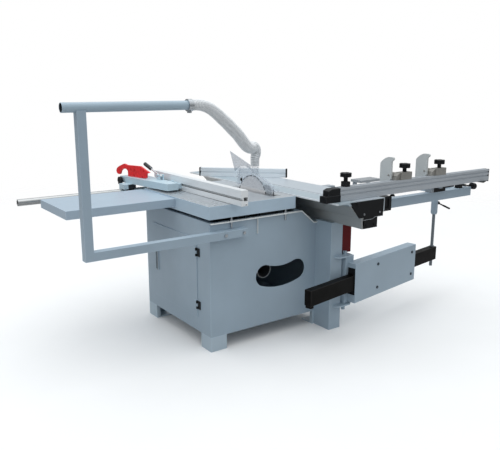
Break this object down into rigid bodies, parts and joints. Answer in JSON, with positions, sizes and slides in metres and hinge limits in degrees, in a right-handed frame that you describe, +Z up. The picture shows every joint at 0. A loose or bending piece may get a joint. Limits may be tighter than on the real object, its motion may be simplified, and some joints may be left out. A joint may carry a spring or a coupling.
{
  "type": "sliding table saw",
  "caption": "Floor-standing sliding table saw with tilting blade, overhead dust arm, sliding carriage, outrigger on a swing arm, rip fence and crosscut fence.",
  "frame": {"origin": "on the floor at the centre of the four foot anchor holes", "axes": "+X across the cut toward the sliding carriage, +Y along the cut toward the operator, +Z up"},
  "size_m": [2.928, 1.671, 1.457],
  "materials": {
    "blue_grey_paint": "light blue-grey satin paint",
    "pale_paint": "pale blue-grey paint",
    "dark_red_paint": "dark red paint",
    "black_paint": "black paint",
    "dark_paint": "dark grey paint",
    "motor_body": "dark finned housing",
    "ground_iron": "ground and polished",
    "bare_casting": "cast, satin",
    "dark_casting": "as cast",
    "aluminium": "anodised extrusion",
    "grey_aluminium": "grey anodised extrusion",
    "bright_steel": "machined",
    "chromed_bar": "polished",
    "black_plastic": "moulded",
    "hose_plastic": "pale translucent hose with wire ribs",
    "red_plastic": "moulded",
    "green_plastic": "moulded",
    "belt_rubber": "matt",
    "clear_guard": "tinted moulding"
  },
  "bodies": {
    "base": {"cabinet": "blue_grey_paint", "feet": "blue_grey_paint", "rear_column": "blue_grey_paint", "door_hinges": "black_plastic", "base_bolts": "bright_steel", "main_table": "ground_iron", "table_insert": "bright_steel", "extension_table": "pale_paint", "rip_rail": "chromed_bar", "rail_brackets": "bare_casting", "slide_beam": "aluminium", "beam_caps": "black_plastic", "beam_gusset": "dark_red_paint", "overhead_arm": "blue_grey_paint", "dust_pipe": "blue_grey_paint", "dust_hose": "hose_plastic", "switch_box": "black_plastic", "tilt_cradles": "dark_casting"},
    "door": {"cabinet_door": "blue_grey_paint"},
    "height_wheel": {"height_wheel": "black_plastic"},
    "tilt_wheel": {"tilt_wheel": "black_plastic"},
    "start_button": {"start_button": "green_plastic"},
    "stop_button": {"stop_button": "red_plastic"},
    "tilt_unit": {"tilt_frame": "dark_casting", "dust_chute": "dark_paint", "guard_hood": "clear_guard", "height_screw": "bright_steel"},
    "rise_unit": {"rise_block": "dark_casting", "riving_knife": "bright_steel", "motor": "motor_body", "drive_belt": "belt_rubber"},
    "blade_unit": {"saw_blade": "bright_steel", "arbor": "bright_steel"},
    "motor_pulley": {"motor_pulley": "bright_steel"},
    "carriage_unit": {"carriage": "aluminium", "outrigger_frame": "blue_grey_paint", "outrigger_clamps": "black_plastic", "support_slat": "aluminium", "support_socket": "blue_grey_paint"},
    "socket_lever": {"socket_lever": "black_plastic"},
    "outrigger_knob": {"outrigger_knob": "black_plastic"},
    "fence_unit": {"crosscut_fence": "grey_aluminium", "fence_shoe": "black_plastic"},
    "fence_knob": {"fence_knob": "black_plastic"},
    "stop_1": {"stop_block_1": "grey_aluminium"},
    "stop_knob_1": {"stop_knob_1": "black_plastic"},
    "flip_1": {"flip_stop_1": "aluminium"},
    "stop_2": {"stop_block_2": "grey_aluminium"},
    "stop_knob_2": {"stop_knob_2": "black_plastic"},
    "flip_2": {"flip_stop_2": "aluminium"},
    "mitre_unit": {"mitre_fence": "aluminium"},
    "swing_unit": {"swing_sleeve": "blue_grey_paint"},
    "swing_bar": {"swing_bar": "black_paint", "support_rod": "bright_steel"},
    "rip_unit": {"rip_head": "blue_grey_paint"},
    "rip_fence": {"rip_fence": "aluminium"},
    "rip_lever": {"rip_lever": "black_plastic"},
    "rip_knob": {"rip_knob": "black_plastic"},
    "push_stick": {"push_stick": "red_plastic"}
  },
  "joints": [
    {"name": "door_hinge", "type": "hinge", "parent": "base", "child": "door", "pos_m": [-0.451, -0.256, 0.4], "axis": [0, 0, 1], "range_deg": [0, 105]},
    {"name": "blade_tilt", "type": "hinge", "parent": "base", "child": "tilt_unit", "pos_m": [0.068, -0.096, 0.87], "axis": [0, -1, 0], "range_deg": [0, 45], "deforming": ["dust_hose"]},
    {"name": "blade_rise", "type": "slide", "parent": "tilt_unit", "child": "rise_unit", "axis": [0, 0, 1], "range_m": [-0.095, 0]},
    {"name": "blade_spin", "type": "hinge", "parent": "rise_unit", "child": "blade_unit", "pos_m": [0.068, -0.096, 0.812], "axis": [1, 0, 0], "continuous": true},
    {"name": "motor_spin", "type": "hinge", "parent": "rise_unit", "child": "motor_pulley", "pos_m": [-0.17, 0.04, 0.6], "axis": [1, 0, 0], "continuous": true},
    {"name": "height_wheel_turn", "type": "hinge", "parent": "base", "child": "height_wheel", "pos_m": [-0.056, 0.42, 0.56], "axis": [0, 1, 0], "range_deg": [-1440, 0]},
    {"name": "tilt_wheel_turn", "type": "hinge", "parent": "base", "child": "tilt_wheel", "pos_m": [-0.256, 0.42, 0.56], "axis": [0, 1, 0], "range_deg": [0, 1441]},
    {"name": "start_press", "type": "slide", "parent": "base", "child": "start_button", "axis": [0, -1, 0], "range_m": [0, 0.004], "stiffness_N_per_m": 400},
    {"name": "stop_press", "type": "slide", "parent": "base", "child": "stop_button", "axis": [0, -1, 0], "range_m": [0, 0.004], "stiffness_N_per_m": 400},
    {"name": "carriage_slide", "type": "slide", "parent": "base", "child": "carriage_unit", "axis": [0, 1, 0], "range_m": [0, 0.75]},
    {"name": "swing_turn", "type": "hinge", "parent": "base", "child": "swing_unit", "pos_m": [0.481, -0.527, 0.32], "axis": [0, 0, 1], "range_deg": [0, 33.5]},
    {"name": "bar_slide", "type": "slide", "parent": "swing_unit", "child": "swing_bar", "axis": [0.9863, 0.165, 0], "range_m": [0, 0.3125]},
    {"name": "fence_swivel", "type": "hinge", "parent": "carriage_unit", "child": "fence_unit", "pos_m": [0.304, -0.6945, 0.87], "axis": [0, 0, 1], "range_deg": [0, 45]},
    {"name": "fence_knob_turn", "type": "hinge", "parent": "fence_unit", "child": "fence_knob", "pos_m": [0.304, -0.6945, 1], "axis": [0, 0, 1], "continuous": true},
    {"name": "stop_1_slide", "type": "slide", "parent": "fence_unit", "child": "stop_1", "axis": [1, 0, 0], "range_m": [-0.3, 0.15]},
    {"name": "stop_knob_1_turn", "type": "hinge", "parent": "stop_1", "child": "stop_knob_1", "pos_m": [0.811, -0.6945, 1.02], "axis": [0, 0, 1], "continuous": true},
    {"name": "flip_1_turn", "type": "hinge", "parent": "stop_1", "child": "flip_1", "pos_m": [0.712, -0.66, 0.982], "axis": [1, 0, 0], "range_deg": [0, 80]},
    {"name": "stop_2_slide", "type": "slide", "parent": "fence_unit", "child": "stop_2", "axis": [1, 0, 0], "range_m": [-0.15, 0.3]},
    {"name": "stop_knob_2_turn", "type": "hinge", "parent": "stop_2", "child": "stop_knob_2", "pos_m": [1.15, -0.6945, 1.02], "axis": [0, 0, 1], "continuous": true},
    {"name": "flip_2_turn", "type": "hinge", "parent": "stop_2", "child": "flip_2", "pos_m": [1.051, -0.66, 0.982], "axis": [1, 0, 0], "range_deg": [0, 80]},
    {"name": "mitre_swivel", "type": "hinge", "parent": "carriage_unit", "child": "mitre_unit", "pos_m": [0.374, 0.45, 0.871], "axis": [0, 0, 1], "range_deg": [-15, 45]},
    {"name": "socket_lever_turn", "type": "hinge", "parent": "carriage_unit", "child": "socket_lever", "pos_m": [1.5205, -0.41586, 0.68], "axis": [1, 0, 0], "range_deg": [-60, 60]},
    {"name": "outrigger_knob_turn", "type": "hinge", "parent": "carriage_unit", "child": "outrigger_knob", "pos_m": [1.56877, -0.612, 0.83336], "axis": [0.9877, 0, -0.1564], "continuous": true},
    {"name": "rip_slide", "type": "slide", "parent": "base", "child": "rip_unit", "axis": [-1, 0, 0], "range_m": [-0.29, 0.55]},
    {"name": "rip_fence_slide", "type": "slide", "parent": "rip_unit", "child": "rip_fence", "axis": [0, 1, 0], "range_m": [0, 0.3]},
    {"name": "rip_lever_turn", "type": "hinge", "parent": "rip_unit", "child": "rip_lever", "pos_m": [-0.361, 0.34, 0.947], "axis": [1, 0, 0], "range_deg": [0, 75]},
    {"name": "rip_knob_turn", "type": "hinge", "parent": "rip_unit", "child": "rip_knob", "pos_m": [-0.5, 0.638, 0.896], "axis": [1, 0, 0], "continuous": true},
    {"name": "push_stick_lift", "type": "slide", "parent": "rip_unit", "child": "push_stick", "axis": [0, 0, 1], "range_m": [0, 0.15]}
  ],
  "couplings": [
    {"joint": "motor_spin", "follows": "blade_spin", "ratio": 0.875},
    {"joint": "height_wheel_turn", "follows": "blade_rise", "rad_per_m": 264},
    {"joint": "tilt_wheel_turn", "follows": "blade_tilt", "ratio": 32},
    {"joint": "swing_turn", "follows": "carriage_slide", "rad_per_m": 0.7775},
    {"joint": "bar_slide", "follows": "carriage_slide", "ratio": 0.416}
  ]
}
